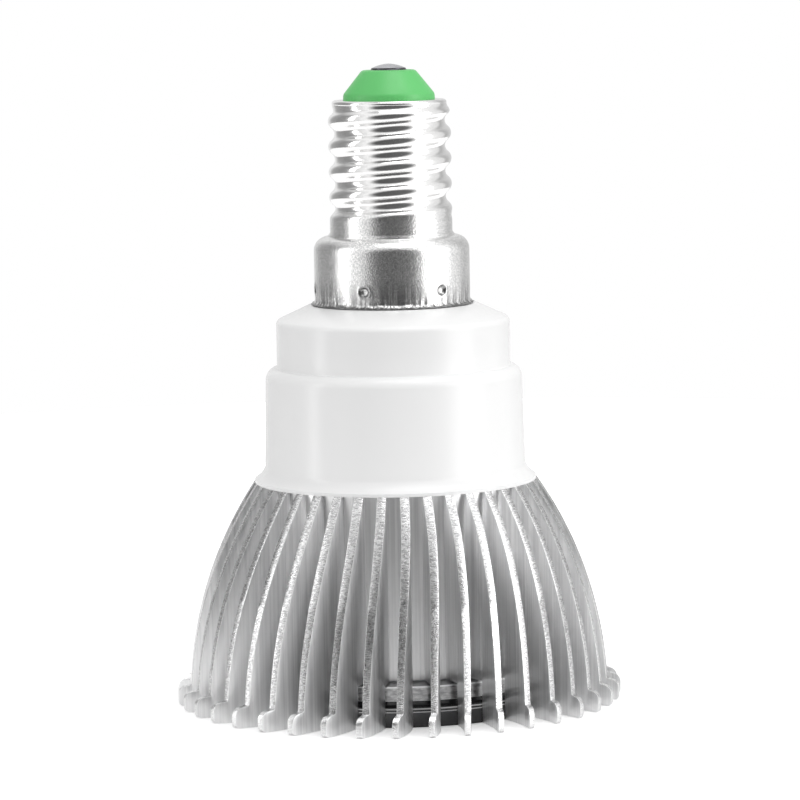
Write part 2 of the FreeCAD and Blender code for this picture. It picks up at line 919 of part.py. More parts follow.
def legged_chip(x, z, width, height, depth, legs, leg_w, reach):
    """A flat package on the board's back; its legs stand out along X."""
    y = driver_back_y
    span_x = (x - width / 2, x + width / 2)
    span_y = (y - package_lift - depth, y - package_lift)
    body = block(span_x, span_y, (z - height / 2, z + height / 2))
    high = y - 3 * leg_t
    pieces = []
    for k in range(legs):
        leg_z = z + (k - (legs - 1) / 2) * height * 0.9 / max(legs - 1, 1) * (legs > 1)
        span_z = (leg_z - leg_w / 2, leg_z + leg_w / 2)
        for side in (-1, 1):
            inner = x + side * (width / 2 - leg_t)
            knee = x + side * (width / 2 + reach / 2)
            knee_x = sorted((knee - side * leg_t, knee))
            toe = x + side * (width / 2 + reach)
            pieces.append(block(sorted((inner, knee)), (high, high + leg_t), span_z))
            pieces.append(block(knee_x, (high, y), span_z))
            pieces.append(block(sorted((knee - side * leg_t, toe)), (y - leg_t, y), span_z))
    return body.fuse(pieces)


def bridge_rectifier():
    z = driver_top_z - rectifier_drop
    return legged_chip(rectifier_x, z, rectifier_w, rectifier_h, rectifier_d, 2, rectifier_leg_w,
                       rectifier_reach)


def driver_chip():
    return legged_chip(chip_x, chip_z, chip_w, chip_h, chip_d, 4, chip_leg_w, chip_reach)


def output_diode():
    z = driver_bottom_z + diode_rise
    return legged_chip(diode_x, z, diode_w, diode_h, diode_d, 1, diode_leg_w, diode_reach)


def chip_resistors():
    """Four small blocks on the board's back, two on each side."""
    span_y = (driver_back_y - chip_resistor_t, driver_back_y)
    places = [
        (left_resistor_x, side_part_z + resistor_step / 2),
        (left_resistor_x, side_part_z - resistor_step / 2),
        (right_resistor_x, side_part_z + right_resistor_rise),
        (right_resistor_x, side_part_z - right_resistor_rise - chip_resistor_w / 2),
    ]
    chips = []
    for x, z in places:
        span_x = (x - chip_resistor_w / 2, x + chip_resistor_w / 2)
        chips.append(block(span_x, span_y, (z - chip_resistor_h / 2, z + chip_resistor_h / 2)))
    return Part.makeCompound(chips)


# Leads

def hole_start(hole):
    return (hole[0], driver_front_y + pin_stub, hole[1])


def live_lead():
    end_z = insulator_top_z - shank_length + shank_bore_depth - slide_gap
    points = [
        hole_start(live_hole),
        (live_hole_x, driver_back_y - cap_lead_stand, cap_hole_z),
        (live_hole_x * 2 / 3, driver_back_y - cap_lead_stand / 2, neck_z),
        (0, 0, thread_z + 1),
        (0, 0, end_z),
    ]
    return bent_tube(points, lead_r, [0.4, 0.4, 0.4])


def neutral_lead():
    inner_y = -(neck_bore_r - lead_r - slide_gap)
    outer_y = -(neck_r - lead_r)
    over_z = neck_top_z - lead_r - slide_gap
    points = [
        hole_start(neutral_hole),
        (neutral_hole_x, driver_back_y - cap_lead_stand, cap_hole_z),
        (0, inner_y, neck_z),
        (0, inner_y, over_z),
        (0, outer_y, over_z),
        (0, outer_y, neck_z + groove_foot_h + slide_gap),
    ]
    return bent_tube(points, lead_r, [0.4, 0.4, 0.3, 0.4])


def led_lead(side, hole):
    run_z = chip_board_face_z - slide_gap - lead_r
    drop_x = side * light_lead_x
    points = [
        hole_start(hole),
        (hole[0], driver_back_y - light_lead_stand, hole[1]),
        (drop_x, 0, web_top_z + light_lead_h),
        (drop_x, 0, run_z),
        (side * (joint_x + 0.1), 0, run_z),
    ]
    return bent_tube(points, lead_r, [0.4, 0.4, 0.36])


def build():
    os.makedirs("parts", exist_ok=True)
    save("heat_sink", heat_sink())
    save("housing", housing())
    save("screw_shell", screw_shell())
    save("cap_insulator", cap_insulator())
    save("centre_contact", centre_contact())
    save("thermal_pad", thermal_pad())
    save("led_board", led_board())
    red, blue = light_chips()
    save("red_leds", red)
    save("blue_leds", blue)
    positive = led_lead(1, positive_hole)
    negative = led_lead(-1, negative_hole)
    save("led_lead_positive", positive)
    save("led_lead_negative", negative)
    save("solder_joints", solder_joints((positive, negative)))
    save("board_screws", board_screws())
    save("housing_screws", housing_screws())
    save("front_cover", front_cover())
    save("live_lead", live_lead())
    save("neutral_lead", neutral_lead())
    save("driver_board", driver_board())
    save("transformer_core", transformer_core())
    save("transformer_bobbin", transformer_bobbin())
    save("transformer_winding", transformer_winding())
    save("transformer_pins", transformer_pins())
    save("input_capacitor", electrolytic(input_can))
    save("output_capacitor", electrolytic(output_can))
    save("film_capacitor", film_capacitor())
    save("fusible_resistor", fusible_resistor())
    save("bridge_rectifier", bridge_rectifier())
    save("driver_chip", driver_chip())
    save("output_diode", output_diode())
    save("chip_resistors", chip_resistors())


build()
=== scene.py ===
# %% [markdown]
# # A grow light bulb, dressed in Blender
#
# This lesson dresses a CAD model of a grow light bulb: a bell of thin aluminium
# fins, a stepped white housing and a small screw cap. The CAD model is loaded as
# a fixed frame. What it already shows well keeps its mesh and gets a finish, and
# what the eye lingers on, such as the fins and the rolled thread, is modelled
# again with soft edges at the same place and size.

# %% Load the frame
import math

import bmesh
import bpy
from mathutils import Matrix, Vector


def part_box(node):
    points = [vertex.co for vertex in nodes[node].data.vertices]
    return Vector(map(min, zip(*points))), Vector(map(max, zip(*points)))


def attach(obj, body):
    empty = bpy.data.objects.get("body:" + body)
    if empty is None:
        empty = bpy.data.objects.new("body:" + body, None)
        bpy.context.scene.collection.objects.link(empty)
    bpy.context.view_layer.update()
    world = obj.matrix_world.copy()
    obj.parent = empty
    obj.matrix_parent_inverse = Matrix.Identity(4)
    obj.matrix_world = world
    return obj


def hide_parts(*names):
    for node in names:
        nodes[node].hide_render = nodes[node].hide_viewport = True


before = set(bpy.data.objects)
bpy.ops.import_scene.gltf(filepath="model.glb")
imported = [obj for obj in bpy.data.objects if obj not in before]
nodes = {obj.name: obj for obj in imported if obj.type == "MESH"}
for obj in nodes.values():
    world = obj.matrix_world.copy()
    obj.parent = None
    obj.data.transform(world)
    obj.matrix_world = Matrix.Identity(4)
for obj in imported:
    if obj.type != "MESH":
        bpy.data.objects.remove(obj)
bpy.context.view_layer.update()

print("CAD nodes:", len(nodes))

# %% [markdown]
# All sizes below are in millimetres, because that is how such a bulb is drawn,
# and one factor turns them into Blender's metres. Heights that pieces share are
# read from the CAD nodes' own boxes, so that the pieces here sit where the
# frame says.

# %% Heights and radii from the frame
MM = 0.001


def span_z(node):
    """The lowest and highest point of a CAD node, in millimetres."""
    low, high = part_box(node)
    return low[2] / MM, high[2] / MM


def reach(node):
    """The largest radius of a CAD node, in millimetres."""
    low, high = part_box(node)
    return max(high[0], high[1], -low[0], -low[1]) / MM


rim_r = reach("heat_sink")
sink_top = span_z("heat_sink")[1]
neck_top = span_z("housing")[1]
cap_foot, cap_top = span_z("screw_shell")
plug_top = span_z("cap_insulator")[1]
contact_top = span_z("centre_contact")[1]
board_face, board_back = span_z("led_board")
print("bulb height", round(contact_top, 2), "rim radius", round(rim_r, 2))

# %% [markdown]
# Most of this bulb was turned on a lathe or moulded round an axis, so most
# pieces start as a half outline of points, given as radius and height. Small
# helpers draw the round stretches of such an outline: one lays an arc between
# two points, the others round off corners.

# %% Round stretches of an outline
def arc(start, end, rise, steps):
    """Points along an arc whose middle rises this far to the left of its chord."""
    dr, dz = end[0] - start[0], end[1] - start[1]
    half = math.hypot(dr, dz) / 2
    radius = (half * half + rise * rise) / (2 * abs(rise))
    opening = 2 * math.asin(min(half / radius, 1.0))
    points = []
    for k in range(steps + 1):
        a = opening * (k / steps - 0.5)
        along = 0.5 + radius * math.sin(a) / (2 * half)
        lift = radius * (math.cos(a) - math.cos(opening / 2)) / (2 * half)
        lift = math.copysign(lift, rise)
        points.append((start[0] + dr * along - dz * lift, start[1] + dz * along + dr * lift))
    return points


def soft_corner(before, corner, after, size, steps=4):
    """A corner of an outline, rounded to this size."""
    b, c, a = Vector(before), Vector(corner), Vector(after)
    start = c + (b - c).normalized() * size
    end = c + (a - c).normalized() * size
    points = []
    for k in range(steps + 1):
        t = k / steps
        points.append(tuple((1 - t) ** 2 * start + 2 * t * (1 - t) * c + t * t * end))
    return points


def rounded(outline, sizes):
    """An open outline with the corners named by number rounded off."""
    points = []
    for k, corner in enumerate(outline):
        if k in sizes:
            points += soft_corner(outline[k - 1], corner, outline[k + 1], sizes[k])
        else:
            points.append(corner)
    return points


print("a soft corner has", len(soft_corner((0, 0), (1, 0), (1, 1), 0.2)), "points")

# %% [markdown]
# One helper makes all turned shapes: it draws the half outline as a chain of
# edges, spins it once round the axis and joins the seam. A second one merges
# what meets, turns the faces outwards, shades them smooth up to an angle and
# makes the object. A third adds one shape to another, for pieces that are made
# of several, and the last gives the piece the place of its CAD node.

# %% Spin, finish and place a piece
MERGE_DISTANCE = 0.0005
SMOOTH_ANGLE = 35


def spun(outline, steps):
    """A bmesh turned once about the axis from a half outline."""
    bm = bmesh.new()
    verts = [bm.verts.new((r, 0, z)) for r, z in outline]
    edges = [bm.edges.new(pair) for pair in zip(verts[:-1], verts[1:])]
    bmesh.ops.spin(bm, geom=verts + edges, cent=(0, 0, 0), axis=(0, 0, 1),
                   angle=math.tau, steps=steps, use_merge=True)
    bmesh.ops.remove_doubles(bm, verts=bm.verts, dist=MERGE_DISTANCE)
    return bm


def finish_piece(name, bm, smooth_angle=SMOOTH_ANGLE):
    """Turns a bmesh in millimetres into a piece of the bulb, shaded smooth."""
    bmesh.ops.remove_doubles(bm, verts=bm.verts, dist=MERGE_DISTANCE)
    bmesh.ops.scale(bm, vec=(MM, MM, MM), verts=bm.verts)
    bmesh.ops.recalc_face_normals(bm, faces=bm.faces)
    for edge in bm.edges:
        edge.smooth = not edge.is_manifold or edge.calc_face_angle() < math.radians(smooth_angle)
    for face in bm.faces:
        face.smooth = True
    mesh = bpy.data.meshes.new(name)
    bm.to_mesh(mesh)
    bm.free()
    piece = bpy.data.objects.new(name, mesh)
    bpy.context.scene.collection.objects.link(piece)
    print(name, len(mesh.polygons), "faces")
    return piece


def add_bmesh(bm, other):
    """Adds one bmesh to another and frees it."""
    mesh = bpy.data.meshes.new("added")
    other.to_mesh(mesh)
    other.free()
    bm.from_mesh(mesh)
    bpy.data.meshes.remove(mesh)


def stands_for(piece, node):
    """The piece takes the CAD node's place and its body."""
    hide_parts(node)
    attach(piece, "root")


# %% [markdown]
# The heat sink is an extruded bar with forty fins, turned to a bell. Each fin
# runs straight out of the core and then leans over along an arc. A fin is cut
# here as on the lathe: its side view is drawn as one face, from the core out to
# the bell's curve and the lip at the foot.

# %% Side view of a fin
FIN_COUNT = 40
FIN_ROOT_R = 15.2
BELL_TOP_R = 15.9
BELL_ARC = 44.4
BELL_SHARE = 0.95
WAIST = (23.55, 2.4)
WAIST_RISE = 0.04
LIP = (24.3, 2.25)
LIP_RISE = -0.17
RIM_FACE_Z = 1.45
RIM_CORNER = 0.45
RIM_RISE = -0.13
RECESS_R = 18.9
RECESS_Z = 4.6


def by_waist(dr, dz):
    """A point this far from the waist, where the bell meets the lip."""
    return WAIST[0] + dr, WAIST[1] + dz


def fin_outline():
    """The side view of one fin, as radius and height."""
    top = (BELL_TOP_R, sink_top)
    chord = math.hypot(WAIST[0] - top[0], WAIST[1] - top[1])
    rise = BELL_ARC - math.sqrt(BELL_ARC ** 2 - chord ** 2 / 4)
    inside = [(FIN_ROOT_R, sink_top), (FIN_ROOT_R, RECESS_Z), (RECESS_R, RECESS_Z), (RECESS_R, 0.0)]
    rim = arc((rim_r - RIM_CORNER, 0.0), (rim_r, RIM_CORNER), RIM_RISE, 4)
    lip = arc((rim_r, RIM_FACE_Z), LIP, LIP_RISE, 5)
    waist = arc(by_waist(0.12, -0.03), by_waist(-0.02, 0.14), WAIST_RISE, 2)
    bell = arc(by_waist(-0.08, 0.7), top, -rise * BELL_SHARE, 26)
    return inside + rim + lip + waist + bell


print("fin outline:", len(fin_outline()), "points")

# %% [markdown]
# That face is sliced along its length so that it can bend, and pushed out to a
# thickness. Its long edges are bevelled, because the small bright line on each
# edge is what makes turned aluminium look crisp. A number on each face notes
# how it was cut, so that the finish can tell flank, bevel and turned face apart.
# Last comes the bend, which keeps every point's distance from the axis, so that
# the lathe's outline stays true.

# %% One fin, sliced, thickened, bevelled and bent
FIN_BEND_R = 16.6
FIN_BEND_RADIUS = 19.0
FIN_MID_R = 21.2
FIN_ROOT_T = 1.0
FIN_MID_T = 0.92
FIN_TIP_T = 0.72
SLICE = 0.9
SLICE_END = 0.3
FLANK_LIMIT = 0.9
FIN_BEVEL = 0.14
FLANK_MARK, BEVEL_MARK, TURNED_MARK = 0.0, 0.5, 1.0


def bend_fin(bm):
    """Lays a straight fin along its bent centre line; its radii stay as they are."""
    for vert in bm.verts:
        radius, offset, height = vert.co
        near = min(max((radius - FIN_BEND_R) / (FIN_MID_R - FIN_BEND_R), 0.0), 1.0)
        far = min(max((radius - FIN_MID_R) / (rim_r - FIN_MID_R), 0.0), 1.0)
        offset *= FIN_ROOT_T + (FIN_MID_T - FIN_ROOT_T) * near + (FIN_TIP_T - FIN_MID_T) * far
        along = max(radius - FIN_BEND_R, 0.0)
        turn = math.asin(along / FIN_BEND_RADIUS)
        x = radius + offset * math.sin(turn)
        y = FIN_BEND_RADIUS * (math.cos(turn) - 1) + offset * math.cos(turn)
        keep = radius / math.hypot(x, y)
        vert.co = (x * keep, y * keep, height)


def long_edges(bm):
    """The edges between flank and cut face, apart from those inside the core."""
    found = []
    for edge in bm.edges:
        sides = [abs(f.normal.y) > FLANK_LIMIT for f in edge.link_faces]
        if len(sides) == 2 and sides[0] != sides[1]:
            if all(v.co.x > FIN_ROOT_R + 0.01 for v in edge.verts):
                found.append(edge)
    return found


def make_fin():
    """One fin with bevelled edges, its faces marked by the way they were cut."""
    bm = bmesh.new()
    bm.faces.new([bm.verts.new((r, -0.5, z)) for r, z in fin_outline()])
    r = FIN_BEND_R
    while r < rim_r - SLICE_END:
        bmesh.ops.bisect_plane(bm, geom=bm.verts[:] + bm.edges[:] + bm.faces[:],
                               plane_co=(r, 0, 0), plane_no=(1, 0, 0), dist=0.0001)
        r += SLICE
    grown = bmesh.ops.extrude_face_region(bm, geom=bm.faces[:] + bm.edges[:] + bm.verts[:])
    moved = [g for g in grown["geom"] if isinstance(g, bmesh.types.BMVert)]
    bmesh.ops.translate(bm, vec=(0, 1.0, 0), verts=moved)
    bmesh.ops.recalc_face_normals(bm, faces=bm.faces)
    cut = bm.faces.layers.float.new("cut")
    for face in bm.faces:
        face[cut] = FLANK_MARK if abs(face.normal.y) > FLANK_LIMIT else TURNED_MARK
    soft = bmesh.ops.bevel(bm, geom=long_edges(bm), affect="EDGES", offset=FIN_BEVEL, segments=2,
                           profile=0.5, material=-1, clamp_overlap=True)
    for face in soft["faces"]:
        face[cut] = BEVEL_MARK
    bend_fin(bm)
    return bm


bm = make_fin()
print("one fin", len(bm.faces), "faces")

# %% [markdown]
# The fin is copied round the axis by a spin that duplicates. The core between
# the fins is a short tube with a web across it, so it is spun like any turned
# piece and added to the fins. The whole heat sink is then one mesh, as the real
# one is one piece of metal.

# %% Forty fins and their core
FIN_AZIMUTH = math.radians(-86.7)
CORE_R = 15.42
BORE_R = 12.9
WEB_TOP_Z = 9.0
WEB_HOLE_R = 2.2
copies = FIN_COUNT - 1
bmesh.ops.spin(bm, geom=bm.verts[:] + bm.edges[:] + bm.faces[:], cent=(0, 0, 0), axis=(0, 0, 1),
               angle=math.tau * copies / FIN_COUNT, steps=copies, use_duplicate=True)
bmesh.ops.rotate(bm, cent=(0, 0, 0), matrix=Matrix.Rotation(FIN_AZIMUTH, 3, "Z"), verts=bm.verts)
print("fins", len(bm.faces), "faces")

core = spun([(WEB_HOLE_R, RECESS_Z), (CORE_R, RECESS_Z), (CORE_R, sink_top), (BORE_R, sink_top),
             (BORE_R, WEB_TOP_Z), (WEB_HOLE_R, WEB_TOP_Z), (WEB_HOLE_R, RECESS_Z)], 160)
add_bmesh(bm, core)
heat_sink = finish_piece("finned_heat_sink", bm, 28)
stands_for(heat_sink, "heat_sink")

# %% [markdown]
# The housing is one moulded shell in glossy white plastic. Its outline has a
# flared foot on the fins, a slightly tapered barrel, a rounded step, a narrower
# barrel and a sloping shoulder under the cap. All of that is one outline with
# soft corners, spun once.

# %% The white housing
FOOT_R = 15.8
FOOT_INNER_R = FOOT_R - 3.0
BARREL_FOOT_R = 14.63
BARREL_TOP_R = 14.35
BARREL_INNER_R = 12.8
UPPER_R = 13.07
UPPER_INNER_R = 11.5
SHOULDER_R = 12.6
SHOULDER_TOP_R = 9.45
NECK_R = 8.34
NECK_INNER_R = NECK_R - 1.5
WALL = 0.8
foot_z = sink_top + 0.35
barrel_z = foot_z + 1.35
step_z = barrel_z + 9.9
upper_z = step_z + 1.35
shoulder_z = upper_z + 4.8
neck_z = shoulder_z + 2.0
outline = [(FOOT_INNER_R, sink_top), (FOOT_R, sink_top), (FOOT_R, foot_z)]
outline += arc((FOOT_R, foot_z), (BARREL_FOOT_R, barrel_z), 0.16, 6)[1:]
outline += arc((BARREL_TOP_R, step_z), (UPPER_R + 0.12, upper_z - 0.12), -0.3, 8)
outline += arc((UPPER_R, upper_z + 0.12), (UPPER_R, shoulder_z - 0.2), -0.001, 2)
outline += arc((UPPER_R, shoulder_z), (SHOULDER_R, shoulder_z + 0.55), -0.1, 4)
outline += [(SHOULDER_TOP_R, neck_z), (NECK_R, neck_z), (NECK_R, neck_top)]
outline += [(NECK_INNER_R, neck_top), (NECK_INNER_R, neck_z - WALL)]
outline += [(UPPER_INNER_R, shoulder_z - WALL)]
outline += [(UPPER_INNER_R, upper_z - WALL), (BARREL_INNER_R, step_z - WALL)]
outline += [(BARREL_INNER_R, sink_top), (FOOT_INNER_R, sink_top)]
housing = finish_piece("white_housing", spun(outline, 128))
stands_for(housing, "housing")

# %% [markdown]
# The cap is one drawn and rolled sheet of plated metal, with a plain skirt, a
# rounded shoulder, a short neck and the thread. Its outline is drawn straight
# at first, with fine rows where the marks and the thread will come, because
# those are pressed into the spun wall afterwards, as on the real cap.

# %% Outline of the cap shell
SKIRT_R = 8.69
CRIMP_R = 9.15
CRIMP_FOOT_R = CRIMP_R - 0.3
SKIRT_INNER_R = SKIRT_R - 0.35
CAP_NECK_R = 6.83
CREST_R = 6.85
THREAD_INNER_R = 5.6
RIM_R = 6.02
RIM_HOLE_R = 5.2
ROW, FINE_ROW = 0.3, 0.09
THREAD_ROWS = 96
skirt_top = cap_foot + 6.45
mark_z = skirt_top - 4.55
cap_neck_z = skirt_top + 1.15
thread_foot = cap_neck_z + 2.2
thread_top = thread_foot + 12.5
rows_foot = cap_neck_z + 0.4


def cap_outline():
    """The half outline of the shell, from the crimped foot up and back down inside."""
    points = [(CRIMP_FOOT_R, cap_foot), (CRIMP_R - 0.05, cap_foot), (CRIMP_R, cap_foot + 0.08)]
    points += arc((CRIMP_R, cap_foot + 0.12), (SKIRT_R + 0.02, cap_foot + 0.5), 0.07, 4)
    z = cap_foot + 0.65
    while z < skirt_top - 0.5:
        points.append((SKIRT_R, z))
        z += FINE_ROW if abs(z - mark_z) < 0.95 else ROW
    points += arc((SKIRT_R, skirt_top - 0.35), (CAP_NECK_R + 0.35, cap_neck_z), -0.42, 10)
    points += arc((CAP_NECK_R + 0.33, cap_neck_z), (CAP_NECK_R, rows_foot), 0.1, 4)[1:]
    for k in range(1, THREAD_ROWS + 1):
        points.append((CREST_R - 0.02, rows_foot + (thread_top - rows_foot) * k / THREAD_ROWS))
    points += arc((6.4, thread_top + 0.02), (RIM_R, cap_top), -0.12, 5)
    points += [(5.35, cap_top), (5.22, cap_top - 0.08), (RIM_HOLE_R, cap_top - 0.3)]
    points += [(THREAD_INNER_R, cap_top - 0.32), (THREAD_INNER_R, thread_foot)]
    points += [(SKIRT_INNER_R, skirt_top - 0.6), (SKIRT_INNER_R, cap_foot + 0.2)]
    return points + [(CRIMP_FOOT_R, cap_foot)]


print("cap outline:", len(cap_outline()), "points")

# %% [markdown]
# A screw thread is a wave that climbs one pitch with each turn. On this cap the
# wave is made of two arcs, one for the crest and one for the valley. Every point
# of the threaded wall asks how far it is up and round, and moves in by the depth
# that the wave has there. The wave fades in above the neck and out at the top.

# %% Roll the thread
PITCH = 2.822
DEPTH = 0.7
THREAD_ARC_R = 0.886
THREAD_END_R = 6.38
OUTER_WALL_R = 6.1
last_crest_z = thread_top - 0.5


def ease(x):
    """A smooth rise from 0 to 1 between 0 and 1."""
    x = min(max(x, 0.0), 1.0)
    return x * x * (3 - 2 * x)


def wave_depth(phase):
    """How deep the rolled wall lies at this share of a pitch."""
    away = abs((phase + 0.5) % 1.0 - 0.5) * PITCH
    if away < PITCH / 4:
        return THREAD_ARC_R - math.sqrt(THREAD_ARC_R ** 2 - away ** 2)
    return DEPTH - THREAD_ARC_R + math.sqrt(THREAD_ARC_R ** 2 - (PITCH / 2 - away) ** 2)


def roll_thread(bm):
    """Pushes the wall in along a wave that climbs one pitch with each turn."""
    for vert in bm.verts:
        x, y, z = vert.co
        radius = math.hypot(x, y)
        if radius < OUTER_WALL_R or not thread_foot - 0.6 < z <= thread_top + 0.001:
            continue
        phase = (z - last_crest_z) / PITCH - math.atan2(y, x) / math.tau
        groove = wave_depth(phase) * ease((z - thread_foot + 0.5) / 1.5)
        crest_r = CAP_NECK_R + (CREST_R - CAP_NECK_R) * ease((z - thread_foot + 0.6) / 2)
        new_r = THREAD_END_R + (crest_r - groove - THREAD_END_R) * ease((thread_top - z) / 1.1)
        vert.co = (x * new_r / radius, y * new_r / radius, z)


bm = spun(cap_outline(), 432)
roll_thread(bm)
print("deepest point of the thread:", round(wave_depth(0.5), 3), "mm")

# %% [markdown]
# Six small punch marks hold the skirt on the housing. Each is a shallow round
# dent with a slightly raised rim, and a number on its points notes the rim,
# where painted shade darkens the plating. The foot of the skirt is crimped
# against the housing, which leaves small waves and nicks. Sums of sines make
# them, so that they close after one turn and look the same each time.

# %% Punch the marks and crimp the edge
MARK_COUNT = 6
MARK_AZIMUTH = math.radians(-51.0)
MARK_R = 0.62
MARK_DEPTH = 0.28
MARK_REACH = 1.4
MARK_RIM = 0.04
CRIMP_HEIGHT = 1.4
CRIMP_DEPTH = 0.06
CRIMP_PULL = 0.07
CRIMP_WAVES = ((0.5, 11, 0.0), (0.35, 24, 1.3), (0.3, 47, 2.1), (0.25, 83, 0.4))


def punch_marks(bm):
    """Presses the marks in and notes their rims, where painted shade darkens them."""
    painted_mark_shade = bm.verts.layers.float.new("painted_mark_shade")
    step = math.tau / MARK_COUNT
    for vert in bm.verts:
        x, y, z = vert.co
        radius = math.hypot(x, y)
        if abs(radius - SKIRT_R) > 0.05 or abs(z - mark_z) > MARK_REACH:
            continue
        azimuth = (math.atan2(y, x) - MARK_AZIMUTH + step / 2) % step - step / 2
        away = math.hypot(azimuth * SKIRT_R, z - mark_z) / MARK_R
        sink = MARK_DEPTH * (1 - ease((away - 0.4) / 0.6))
        sink -= MARK_RIM * math.exp(-((away - 1.15) / 0.15) ** 2)
        vert[painted_mark_shade] = math.exp(-((away - 0.85) / 0.22) ** 2)
        vert.co = (x * (radius - sink) / radius, y * (radius - sink) / radius, z)


def crimp_edge(bm):
    """Small waves and nicks round the foot of the skirt, as a crimping tool leaves them."""
    for vert in bm.verts:
        x, y, z = vert.co
        radius = math.hypot(x, y)
        if radius < SKIRT_R - 0.1 or z > cap_foot + CRIMP_HEIGHT:
            continue
        azimuth = math.atan2(y, x)
        share = 1 - ease((z - cap_foot) / CRIMP_HEIGHT)
        wave = sum(size * math.sin(azimuth * times + lag) for size, times, lag in CRIMP_WAVES)
        new_r = radius + share * (wave * CRIMP_DEPTH - CRIMP_PULL)
        rise = CRIMP_PULL * share * math.sin(azimuth * 31 + 0.7) * math.sin(azimuth * 8)
        vert.co = (x * new_r / radius, y * new_r / radius, z + rise if z > cap_foot + 0.05 else z)


punch_marks(bm)
crimp_edge(bm)
shell = finish_piece("rolled_screw_shell", bm, 50)
stands_for(shell, "screw_shell")

# %% [markdown]
# The plug that closes the cap is moulded in green plastic: a straight collar, a
# cone and a flat top with soft edges. On it sits the centre contact, a shallow
# metal dome with a small rolled edge and a stem that goes down through the plug.

# %% The green plug and the contact
PLUG_R = 5.5
PLUG_STEP_R = 5.14
COLLAR_R = 5.08
CONE_TOP_R = 2.97
PLUG_BORE_R = 1.05
plug_foot = cap_top - 1.4
collar_foot = cap_top - 0.36
collar_top = plug_top - 2.65
outline = rounded([(PLUG_BORE_R, plug_foot), (PLUG_R, plug_foot), (PLUG_R, collar_foot),
                   (PLUG_STEP_R, collar_foot), (COLLAR_R, collar_top), (CONE_TOP_R, plug_top),
                   (PLUG_BORE_R, plug_top), (PLUG_BORE_R, plug_foot)], {4: 0.22, 5: 0.3})
plug = finish_piece("green_plug", spun(outline, 96))
stands_for(plug, "cap_insulator")

DOME_R = 1.9
ROLLED_EDGE_R = 2.04
STEM_R = 1.0
STEM_LENGTH = 5.5
outline = arc((0.0, contact_top), (DOME_R, plug_top + 0.2), 0.1, 8)
outline += arc((DOME_R + 0.03, plug_top + 0.18), (ROLLED_EDGE_R, plug_top + 0.02), -0.04, 3)
outline += [(STEM_R, plug_top), (STEM_R, plug_top - STEM_LENGTH), (0.0, plug_top - STEM_LENGTH)]
contact = finish_piece("contact_button", spun(outline, 64))
stands_for(contact, "centre_contact")

# %% [markdown]
# A clear disc closes the light face. Its rim slides into the recess that the
# fins form, and a ring on its back rests on the light board. The edges are
# softened so that they catch the light.

# %% The clear cover
COVER_T = 1.2
COVER_RIM_Z = 2.2
cover_r = reach("front_cover")
cover_back = span_z("front_cover")[1]
rim_bore = cover_r - 1.4
seat_bore = rim_bore - 0.9
outline = rounded([(0.0, 0.0), (cover_r, 0.0), (cover_r, COVER_RIM_Z), (rim_bore, COVER_RIM_Z),
                   (rim_bore, cover_back), (seat_bore, cover_back), (seat_bore, COVER_T),
                   (0.0, COVER_T)], {1: 0.2, 2: 0.12, 3: 0.1, 6: 0.3})
cover = finish_piece("clear_cover", spun(outline, 128))
stands_for(cover, "front_cover")

# %% [markdown]
# The light chips are small white frames with a clear pane of resin in them. One
# chip is modelled: a block whose lower face is inset to make the frame, and then
# inset again and pressed up to make the pane. It is copied to its places on two
# rings, and every third chip is blue.

# %% The light chips
CHIP = (3.0, 5.7, 0.8)
CHIP_BEVEL = 0.06
FRAME_WIDTH = 0.35
PANE_SLOPE = 0.12
PANE_DEPTH = 0.14
RINGS = ((12, 13.3, 15.0), (6, 6.7, 0.0))


def chip_bmesh():
    """One chip below the board, with a frame and a pane."""
    bm = bmesh.new()
    bmesh.ops.create_cube(bm, size=1.0)
    bmesh.ops.scale(bm, vec=CHIP, verts=bm.verts)
    bmesh.ops.translate(bm, vec=(0, 0, board_face - CHIP[2] / 2), verts=bm.verts)
    bmesh.ops.bevel(bm, geom=bm.edges[:], affect="EDGES", offset=CHIP_BEVEL, segments=1,
                    profile=0.5, material=-1)
    low = min(bm.faces, key=lambda f: f.calc_center_median().z)
    bmesh.ops.inset_region(bm, faces=[low], thickness=FRAME_WIDTH, depth=0.0)
    bmesh.ops.inset_region(bm, faces=[low], thickness=PANE_SLOPE, depth=-PANE_DEPTH)
    return bm


def chip_group(name, node, blue):
    """All chips of one colour as one piece."""
    bm = bmesh.new()
    number = 0
    for count, radius, first in RINGS:
        for k in range(count):
            if (number % 3 == 1) == blue:
                turn = Matrix.Rotation(math.radians(first + 360.0 * k / count), 4, "Z")
                chip = chip_bmesh()
                chip.transform(turn @ Matrix.Translation((radius, 0, 0)))
                add_bmesh(bm, chip)
            number += 1
    piece = finish_piece(name, bm, 30)
    stands_for(piece, node)
    return piece


red_chips = chip_group("red_light_chips", "red_leds", False)
blue_chips = chip_group("blue_light_chips", "blue_leds", True)

# %% [markdown]
# Finishes come next. Shader maths reads best as plain expressions, so one small
# class wraps a socket and lets it be added, multiplied or compared. A second
# class holds a node tree and adds any other node by one method. Materials and
# the world around the bulb both use it.

# %% A small language for shaders
class Value:
    """A socket that can be used in an expression."""

    def __init__(self, shader, socket):
        self.shader = shader
        self.socket = socket

    def maths(self, operation, other=None, flip=False):
        """Adds a Math node for this value, alone or with another one."""
        links = [self, other] if other is not None else [self]
        if flip:
            links.reverse()
        return self.shader.node("ShaderNodeMath", {"operation": operation}, dict(enumerate(links)))

    def __add__(self, other):
        return self.maths("ADD", other)

    def __sub__(self, other):
        return self.maths("SUBTRACT", other)

    def __rsub__(self, other):
        return self.maths("SUBTRACT", other, flip=True)

    def __mul__(self, other):
        return self.maths("MULTIPLY", other)

    __radd__ = __add__
    __rmul__ = __mul__

    def __gt__(self, other):
        return self.maths("GREATER_THAN", other)

    def __lt__(self, other):
        return self.maths("LESS_THAN", other)


